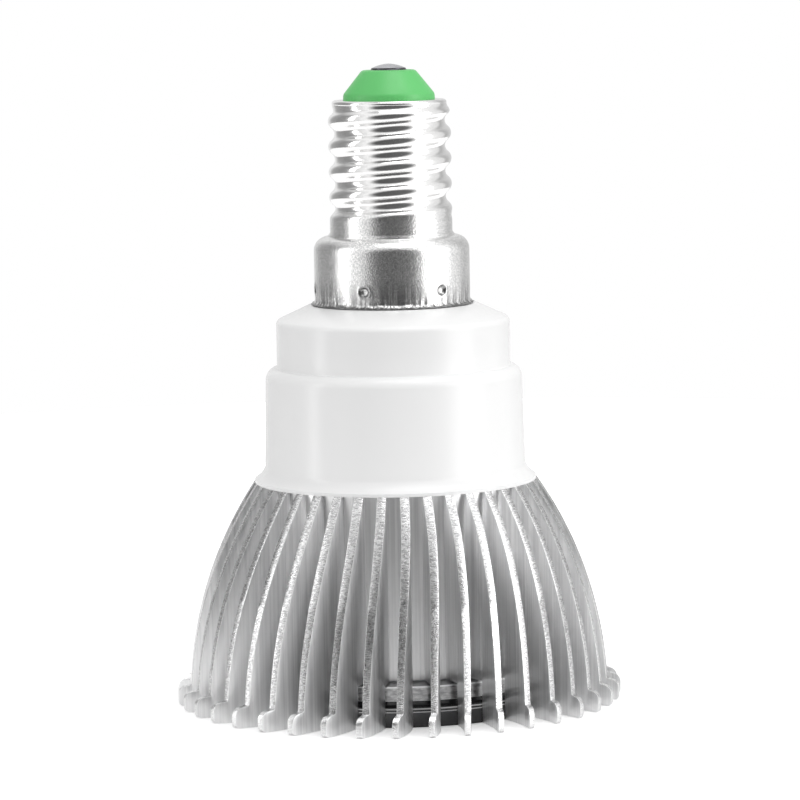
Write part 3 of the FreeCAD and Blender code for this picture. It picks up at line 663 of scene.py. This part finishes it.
class Shader:
    """A node tree whose nodes are added by name and linked by expression."""

    def __init__(self, tree):
        self.tree = tree

    def node(self, kind, settings=None, inputs=None, out=0):
        """Adds a node, sets it up, links or sets its sockets and gives one output."""
        made = self.tree.nodes.new(kind)
        for key, value in (settings or {}).items():
            if key == "stops":
                ramp = made.color_ramp
                for k, (position, colour) in enumerate(value):
                    stop = ramp.elements[k] if k < 2 else ramp.elements.new(position)
                    stop.position = position
                    stop.color = colour
            else:
                setattr(made, key, value)
        for key, value in (inputs or {}).items():
            if isinstance(value, Value):
                self.tree.links.new(value.socket, made.inputs[key])
            else:
                made.inputs[key].default_value = value
        return Value(self, made.outputs[out])

    def ramp(self, value, low, high, bottom=0.0, top=1.0):
        """The value between two limits, spread over a new range and clamped."""
        return self.node("ShaderNodeMapRange", {"clamp": True},
                         {0: value, 1: low, 2: high, 3: bottom, 4: top})

    def blend(self, share, first, second):
        """A number between two numbers."""
        return self.node("ShaderNodeMix", {"data_type": "FLOAT"}, {0: share, 2: first, 3: second})


print("a value can be added, subtracted, multiplied and compared")

# %% [markdown]
# A finish is one material. It starts from the surface shader and the object's
# own coordinates, which stay with the piece wherever it goes, and offers the few
# patterns that this bulb needs: noise, a mix of two colours, and the distance
# along or from the bulb's axis.

# %% One material
def grey(level):
    """An even grey of this level, from 0 to 1."""
    return (level, level, level, 1)


class Finish(Shader):
    """One material: its nodes are added by name and linked by expression."""

    def __init__(self, name, **constants):
        self.material = bpy.data.materials.new(name)
        self.material.use_nodes = True
        super().__init__(self.material.node_tree)
        self.surface = self.tree.nodes["Principled BSDF"]
        self.place = self.node("ShaderNodeTexCoord", out="Object")
        self.set(**constants)

    def set(self, **sockets):
        """Sets or links sockets of the surface shader, named with underscores."""
        for key, value in sockets.items():
            socket = self.surface.inputs[key.replace("_", " ")]
            if isinstance(value, Value):
                self.tree.links.new(value.socket, socket)
            else:
                socket.default_value = value

    def noise(self, scale, detail=2.0, stretch=(1, 1, 1)):
        """Noise on the object's coordinates, scaled along each axis."""
        place = self.node("ShaderNodeMapping", None, {"Vector": self.place, "Scale": stretch})
        return self.node("ShaderNodeTexNoise", None,
                         {"Vector": place, "Scale": scale, "Detail": detail})

    def mix(self, share, first, second):
        """A colour between two colours."""
        return self.node("ShaderNodeMix", {"data_type": "RGBA"},
                         {0: share, 6: first, 7: second}, out=2)

    def axis(self, letter):
        return self.node("ShaderNodeSeparateXYZ", None, {0: self.place}, out=letter)

    def radius(self):
        """Distance from the bulb's axis, in metres."""
        x, y = self.axis("X"), self.axis("Y")
        return (x * x + y * y).maths("SQRT")

    def bump(self, height, strength, distance):
        return self.node("ShaderNodeBump", None,
                         {"Height": height, "Strength": strength, "Distance": distance})


def give(piece, finish):
    """The piece wears this finish and no other."""
    piece.data.materials.clear()
    piece.data.materials.append(finish.material)
    print(piece.name, "wears", finish.material.name)


# %% [markdown]
# Extruded aluminium carries long streaks along the fins, and the lathe leaves
# fine broken rings on what it cuts. Both are noise, stretched along the axis for
# the streaks and round it for the rings. The numbers noted on the fin's faces
# choose between them and keep the bevels smooth, in a lighter colour that is a
# painted highlight along each edge. The turned face of the lip is painted
# lighter than the bell's, also as a painted highlight.

# %% Turned and extruded aluminium
WIDE_STREAKS, FINE_STREAKS = 1100, 3600
TOOL_MARKS = 9500


def turned_aluminium():
    f = Finish("turned_aluminium")
    cut = f.node("ShaderNodeAttribute", {"attribute_name": "cut"}, out="Fac")
    turned = cut > 0.75
    edge = (cut > 0.25) * (1 - turned)
    wide, fine = f.noise(WIDE_STREAKS, 2, (1, 1, 0.015)), f.noise(FINE_STREAKS, 2, (1, 1, 0.01))
    streaks = 0.5 * wide + 0.5 * fine
    rings = f.noise(TOOL_MARKS, 1, (0.25, 0.25, 1))
    grit = f.noise(TOOL_MARKS, 1)
    ticks = f.ramp(rings * 0.6 + grit * 0.4, 0.40, 0.60)
    side = f.mix(f.ramp(streaks, 0.38, 0.62), (0.76, 0.76, 0.765, 1), grey(0.97))
    # Painted highlight: the turned face of the lip is made lighter than the bell's.
    lip = f.axis("Z") < (LIP[1] + 0.1) * MM
    face = f.mix(ticks, (0.42, 0.42, 0.425, 1), grey(0.86))
    face = f.mix(lip * 0.6, face, grey(0.97))
    # Painted highlight: the bevels get a lighter colour than flank and face.
    f.set(Base_Color=f.mix(edge, f.mix(turned, side, face), grey(0.98)))
    f.set(Metallic=0.86 + 0.10 * (turned + edge))
    f.set(Roughness=f.ramp(streaks, 0.35, 0.65, 0.29, 0.41) - 0.06 * turned)
    height = (1 - turned) * streaks * 0.9 + turned * (rings + grit) * 0.8
    f.set(Normal=f.bump(height, 0.5, 0.00006))
    return f


give(heat_sink, turned_aluminium())

# %% [markdown]
# The housing is glossy moulded plastic. It is almost plain: a faint cloud in the
# colour and a faint grain in the gloss keep it from looking like a drawing.

# %% White housing plastic
def white_plastic():
    f = Finish("white_plastic", IOR=1.46)
    grain = f.noise(1400, 2)
    f.set(Base_Color=f.mix(f.noise(90, 1), grey(0.86), grey(0.88)))
    f.set(Roughness=f.ramp(grain, 0.3, 0.7, 0.22, 0.27))
    f.set(Normal=f.bump(grain, 0.03, 0.00003))
    return f


give(housing, white_plastic())

# %% [markdown]
# The cap is plated, so it mirrors what stands round it. The rolled thread is
# bright. The drawn skirt and neck are a little duller, with fine specks and,
# towards the foot, upright lines from the crimping tool. The marks' rims and the
# very edge of the foot are painted dark, as painted shade in the dents and under
# the crimp.

# %% Bright plating of the cap
def z_band(finish, low, high, bottom=0.0, top=1.0):
    """A rise or fall between two heights, in millimetres."""
    return finish.ramp(finish.axis("Z"), low * MM, high * MM, bottom, top)


def bright_plating():
    f = Finish("bright_plating", Metallic=1.0)
    specks = f.noise(6500, 1)
    lines = f.noise(3200, 2, (1, 1, 0.05))
    drawn = z_band(f, thread_foot - 0.5, thread_foot + 1.5, 1.0, 0.0)
    foot = z_band(f, cap_foot + 0.6, cap_foot + 3.4, 1.0, 0.0)
    dull = f.ramp(specks, 0.62, 0.40) * (0.25 + 0.75 * drawn)
    worn = f.mix(dull, (0.96, 0.955, 0.95, 1), grey(0.74))
    lined = f.mix(f.ramp(lines, 0.56, 0.44) * foot, worn, grey(0.40))
    # Painted shade: the marks' rims are darkened.
    painted_mark_shade = f.node("ShaderNodeAttribute", {"attribute_name": "painted_mark_shade"}, out="Fac")
    # Painted shade: the very foot of the skirt is darkened where it meets the housing.
    painted_foot_shade = f.ramp(f.axis("Z") + lines * 0.0004, (cap_foot + 0.55) * MM, (cap_foot + 0.35) * MM)
    f.set(Base_Color=f.mix((painted_mark_shade + painted_foot_shade).maths("MINIMUM", 1.0) * 0.8, lined, grey(0.10)))
    f.set(Roughness=0.14 + 0.13 * drawn)
    f.set(Normal=f.bump(specks * (0.1 + 1.3 * drawn) + lines * foot, 0.7, 0.000024))
    return f


give(shell, bright_plating())

# %% [markdown]
# The centre contact is duller metal with soft spots. Its rolled edge is painted
# dark, as painted shade in the corner between metal and plastic.

# %% Metal of the contact
def contact_metal():
    f = Finish("contact_metal", Metallic=1.0)
    specks = f.noise(1500, 3)
    # Painted shade: the rolled edge is darkened where it meets the plug.
    edge = f.ramp(f.radius(), 1.76 * MM, 1.86 * MM)
    domed = f.mix(specks, (0.46, 0.46, 0.49, 1), (0.66, 0.66, 0.68, 1))
    f.set(Base_Color=f.mix(edge, domed, (0.09, 0.09, 0.10, 1)))
    f.set(Roughness=f.ramp(specks, 0.3, 0.7, 0.20, 0.34))
    f.set(Normal=f.bump(specks, 0.2, 0.00004))
    return f


give(contact, contact_metal())

# %% [markdown]
# Many small pieces are moulded plastic or plain metal and differ only in colour
# and gloss. One function makes each kind: the colour drifts a little, and a
# faint grain varies the gloss.

# %% Moulded plastics and plain metals
def moulded(name, colour, roughness=0.42, spread=0.06):
    """A moulded plastic with a faint grain; the colour varies a little."""
    f = Finish(name)
    grain = f.noise(1200, 2)
    darker = tuple(c * 0.9 for c in colour) + (1,)
    f.set(Base_Color=f.mix(f.noise(250, 2), darker, colour + (1,)))
    f.set(Roughness=f.ramp(grain, 0.3, 0.7, roughness - spread, roughness + spread))
    f.set(Normal=f.bump(grain, 0.05, 0.00004))
    return f


def plain_metal(name, colour, roughness):
    """A plain metal with soft lighter clouds."""
    f = Finish(name, Metallic=1.0)
    cloud = f.noise(900, 3)
    lighter = tuple(min(c * 1.12, 1.0) for c in colour) + (1,)
    f.set(Base_Color=f.mix(cloud, colour + (1,), lighter))
    f.set(Roughness=f.ramp(cloud, 0.3, 0.7, roughness - 0.06, roughness + 0.08))
    f.set(Normal=f.bump(cloud, 0.1, 0.00004))
    return f


give(plug, moulded("green_plastic", (0.125, 0.57, 0.16), 0.40))

# %% [markdown]
# The light board is aluminium with white lacquer on its face, and its sawn edge
# shows between the fins, mottled grey and darkened as painted shade in its
# recess, with a painted highlight along its upper line. The cover is clear and
# dark at its rim round the chips, with two thin painted highlights on that rim.
# Its clear part is made nearly see-through by alpha, which a picture of the
# finish can keep. A chip is a white frame, and its pane takes the colour of the
# light.

# %% Board, cover and chips
def board_metal():
    """White lacquer below; the sawn edge is mottled grey, darkened as painted shade, with a painted
    highlight along its upper line.
    """
    f = Finish("board_metal")
    bare = f.axis("Z") > (board_face + 0.03) * MM
    cloud = f.noise(1400, 3, (1, 1, 2.5))
    # Painted highlight: a light line along the upper edge.
    painted_highlight_line = f.axis("Z") > (board_back - 0.16) * MM
    # Painted shade: the sawn edge is darkened, as in its recess, and mottled.
    sawn_edge_and_shade = f.mix(f.ramp(cloud, 0.35, 0.65), (0.30, 0.30, 0.305, 1), grey(0.62))
    edge = f.mix(painted_highlight_line, sawn_edge_and_shade, grey(0.92))
    f.set(Base_Color=f.mix(bare, (0.84, 0.85, 0.84, 1), edge))
    f.set(Metallic=bare)
    f.set(Roughness=f.ramp(cloud, 0.3, 0.7, 0.30, 0.42))
    return f


def clear_plastic():
    """Clear resin, dark at its rim, with two thin light lines on the rim as painted highlights."""
    f = Finish("clear_plastic", IOR=1.5, Transmission_Weight=0.0)
    rim = f.ramp(f.radius(), (seat_bore - 0.2) * MM, seat_bore * MM)
    height = f.axis("Z")
    # Painted highlights: two thin light lines on the dark rim.
    painted_highlight_line = (height > 1.98 * MM) * (height < 2.12 * MM) + (height > 1.66 * MM) * (height < 1.76 * MM)
    dark_rim_and_highlights = f.mix(painted_highlight_line, (0.035, 0.035, 0.037, 1), grey(0.62))
    f.set(Base_Color=f.mix(rim, (0.82, 0.84, 0.85, 1), dark_rim_and_highlights))
    f.set(Roughness=f.ramp(f.noise(300, 2), 0.3, 0.7, 0.08, 0.16))
    f.set(Alpha=f.ramp(rim, 0.0, 1.0, 0.10, 1.0))
    return f


def chip_finish(name, resin):
    """A white frame with a pane of tinted resin, pressed in below."""
    f = Finish(name)
    pressed_in = f.axis("Z") > (board_face - CHIP[2] + 0.1) * MM
    facing = f.node("ShaderNodeNewGeometry", out="Normal")
    down = f.node("ShaderNodeSeparateXYZ", None, {0: facing}, out="Z") < -0.9
    f.set(Base_Color=f.mix(pressed_in * down, (0.85, 0.85, 0.83, 1), resin + (1,)))
    f.set(Roughness=f.ramp(f.noise(800, 2), 0.3, 0.7, 0.25, 0.4))
    return f


give(cover, clear_plastic())
give(red_chips, chip_finish("red_chip_finish", (0.62, 0.07, 0.05)))
give(blue_chips, chip_finish("blue_chip_finish", (0.07, 0.14, 0.62)))

# %% [markdown]
# The pieces inside keep their CAD meshes, because they are small and mostly
# hidden. Each still gets a finish of its own, in the colour that such a part
# usually has.

# %% Finishes of the carried pieces
METALS = {
    "solder_joints": ("solder_metal", (0.62, 0.62, 0.63), 0.3),
    "board_screws": ("screw_steel", (0.55, 0.55, 0.57), 0.34),
    "housing_screws": ("screw_zinc", (0.58, 0.58, 0.6), 0.34),
    "transformer_pins": ("tinned_pins", (0.66, 0.66, 0.66), 0.3),
}
PLASTICS = {
    "thermal_pad": ("silicone_pad", (0.75, 0.76, 0.78), 0.7),
    "led_lead_positive": ("red_sleeve", (0.62, 0.03, 0.03), 0.45),
    "led_lead_negative": ("black_sleeve", (0.02, 0.02, 0.02), 0.45),
    "live_lead": ("live_sleeve", (0.6, 0.05, 0.03), 0.45),
    "neutral_lead": ("neutral_sleeve", (0.8, 0.8, 0.78), 0.45),
    "driver_board": ("board_laminate", (0.5, 0.36, 0.15), 0.5),
    "transformer_core": ("ferrite", (0.05, 0.05, 0.055), 0.6),
    "transformer_bobbin": ("bobbin_plastic", (0.02, 0.02, 0.02), 0.5),
    "transformer_winding": ("winding_tape", (0.75, 0.55, 0.06), 0.3),
    "input_capacitor": ("input_sleeve", (0.02, 0.03, 0.08), 0.3),
    "output_capacitor": ("output_sleeve", (0.02, 0.05, 0.03), 0.3),
    "film_capacitor": ("dipped_film", (0.6, 0.36, 0.04), 0.35),
    "fusible_resistor": ("resistor_coat", (0.3, 0.45, 0.36), 0.55),
    "bridge_rectifier": ("rectifier_case", (0.02, 0.02, 0.02), 0.5),
    "driver_chip": ("driver_case", (0.025, 0.025, 0.025), 0.5),
    "output_diode": ("diode_case", (0.02, 0.02, 0.022), 0.5),
    "chip_resistors": ("resistor_chips", (0.03, 0.03, 0.03), 0.4),
}
give(nodes["led_board"], board_metal())
for node, look in METALS.items():
    give(nodes[node], plain_metal(*look))
for node, look in PLASTICS.items():
    give(nodes[node], moulded(*look))

# %% [markdown]
# The bulb stands on a white table. The camera sees the table white, because a
# glow is added for it, while a soft shadow stays under the rim. Shiny metal sees
# a part of that glow, and dull surfaces see none of it.

# %% The table
TABLE_R = 190
TABLE_BACK = 115
TABLE_Z = -0.02
GLOW_IN_METAL = 0.35


def white_surface():
    """White to the eye and to shiny metal, with the glow held back near the bulb."""
    f = Finish("table_white", Roughness=0.6, Specular_IOR_Level=0.2)
    f.set(Base_Color=grey(0.90))
    seen = f.node("ShaderNodeLightPath", out="Is Camera Ray")
    seen = seen + GLOW_IN_METAL * f.node("ShaderNodeLightPath", out="Is Glossy Ray")
    glow = f.ramp(f.radius(), 0.024, 0.06, 0.35, 0.65) * seen
    f.set(Emission_Color=f.mix(glow, grey(0.0), grey(1.0)), Emission_Strength=1.0)
    return f


bm = bmesh.new()
bmesh.ops.create_circle(bm, cap_ends=True, segments=96, radius=TABLE_R)
bmesh.ops.translate(bm, vec=(0, TABLE_BACK, TABLE_Z), verts=bm.verts)
table = finish_piece("white_table", bm)
give(table, white_surface())

# %% [markdown]
# Round the table stands a tent of white cloth that is open at the front. Plated
# metal draws all of it: the levels of the cloth, given from the back round by
# the left to the front and on by the right, become its light and grey bands, and
# the dark opening becomes the dark bar in the middle of the cap. Dull surfaces
# only get the even light of a pale room, so that their colours stay as written.
# The camera sees white.

# %% The tent
WORLD_LIGHT = 0.66
WALLS = ((0.0, 0.78), (0.06, 0.86), (0.115, 0.38), (0.20, 0.27), (0.25, 0.30), (0.28, 0.66),
         (0.305, 0.72), (0.33, 0.78), (0.37, 1.0), (0.42, 0.84), (0.60, 1.25), (0.67, 1.15),
         (0.79, 0.85), (0.83, 0.8), (0.865, 0.45), (0.91, 0.60), (1.0, 0.78))
ROOF_FROM, ROOF_TO = 0.55, 0.86
TOP_FROM, TOP_TO = 0.88, 0.96
TOP_LEVEL = 0.45
FRONT = (0.09, -0.996, 0.02)
OPENING_FROM, OPENING_TO = 0.60, 0.86
OPENING_LEVEL = 0.105

world = bpy.data.worlds.new("tent")
bpy.context.scene.world = world
world.use_nodes = True
sky = Shader(world.node_tree)


def direction(letter):
    """One part of the direction that a ray leaves in."""
    way = sky.node("ShaderNodeTexCoord", out="Generated")
    return sky.node("ShaderNodeSeparateXYZ", None, {0: way}, out=letter)


around = sky.ramp(direction("X").maths("ARCTAN2", direction("Y") * -1.0), -math.pi, math.pi)
cloth = sky.node("ShaderNodeValToRGB", {"stops": [(place, grey(level)) for place, level in WALLS]},
                 {0: around})
roof = sky.ramp(direction("Z"), ROOF_FROM, ROOF_TO)
roof_level = sky.ramp(direction("Z"), TOP_FROM, TOP_TO, 1.0, TOP_LEVEL)
ahead = sky.node("ShaderNodeVectorMath", {"operation": "DOT_PRODUCT"},
                 {0: sky.node("ShaderNodeTexCoord", out="Generated"), 1: FRONT}, out="Value")
opening = sky.node("ShaderNodeMapRange", {"interpolation_type": "SMOOTHSTEP"},
                   {0: ahead, 1: OPENING_FROM, 2: OPENING_TO, 3: 1.0, 4: OPENING_LEVEL})
tent = sky.blend(roof, cloth, roof_level) * opening
glossy = sky.node("ShaderNodeLightPath", out="Is Glossy Ray")
seen = sky.node("ShaderNodeLightPath", out="Is Camera Ray").maths(
    "MAXIMUM", sky.node("ShaderNodeLightPath", out="Is Transmission Ray"))
strength = sky.blend(glossy, WORLD_LIGHT, tent).maths("MAXIMUM", seen)
background = sky.tree.nodes["Background"]
background.inputs["Color"].default_value = grey(1.0)
sky.tree.links.new(strength.socket, background.inputs["Strength"])
print("tent of", len(WALLS), "levels and", len(sky.tree.nodes), "nodes")

# %% [markdown]
# The photograph is taken almost level with the bulb, from about 43 cm away, with
# a long lens, so near and far hardly differ in size. Distance, height and the
# small turns were found by fitting the bulb's outline to the photograph.

# %% Camera from the photograph
CAMERA_DISTANCE = 433.8
CAMERA_HEIGHT = 81.8
CAMERA_PITCH = math.radians(6.33)
CAMERA_ROLL = math.radians(1.0)
CAMERA_YAW = math.radians(-0.085)
LENS, SENSOR = 175.1, 36.0
camera_data = bpy.data.cameras.new("camera")
camera_data.lens = LENS
camera_data.sensor_width = SENSOR
camera_data.clip_start = 0.01
camera_data.clip_end = 10.0
camera = bpy.data.objects.new("camera", camera_data)
bpy.context.scene.collection.objects.link(camera)
turn = Matrix.Rotation(CAMERA_YAW, 4, "Z")
turn = turn @ Matrix.Rotation(math.radians(90) - CAMERA_PITCH, 4, "X")
turn = turn @ Matrix.Rotation(-CAMERA_ROLL, 4, "Z")
camera.matrix_world = Matrix.Translation((0, -CAMERA_DISTANCE * MM, CAMERA_HEIGHT * MM)) @ turn
bpy.context.scene.camera = camera
print("camera", CAMERA_DISTANCE, "mm in front, lens", LENS, "mm")

# %% [markdown]
# Three soft lamps shape the bulb: a broad one from the right, a slim weak one
# from the left and one from above, a little in front so that the shoulder isn't
# left in shade. Their powers stay low, so that white plastic keeps its form. The
# view transform is the plain one, because colours should come out as written.

# %% Lamps
SOFTBOXES = (
    ("right_softbox", (0.50, -0.20, 0.16), (0.3, 0.5), 1.15),
    ("left_softbox", (-0.52, -0.13, 0.16), (0.10, 0.5), 0.50),
    ("top_softbox", (0.1, -0.06, 0.6), (0.4, 0.36), 1.15),
)
LAMP_TARGET = Vector((0, 0, 0.035))

for name, place, size, power in SOFTBOXES:
    data = bpy.data.lights.new(name, "AREA")
    data.shape = "RECTANGLE"
    data.size, data.size_y = size
    data.energy = power
    lamp = bpy.data.objects.new(name, data)
    bpy.context.scene.collection.objects.link(lamp)
    lamp.location = place
    lamp.rotation_euler = (LAMP_TARGET - Vector(place)).to_track_quat("-Z", "Y").to_euler()
    print(name, power, "W")

bpy.context.scene.view_settings.view_transform = "Standard"
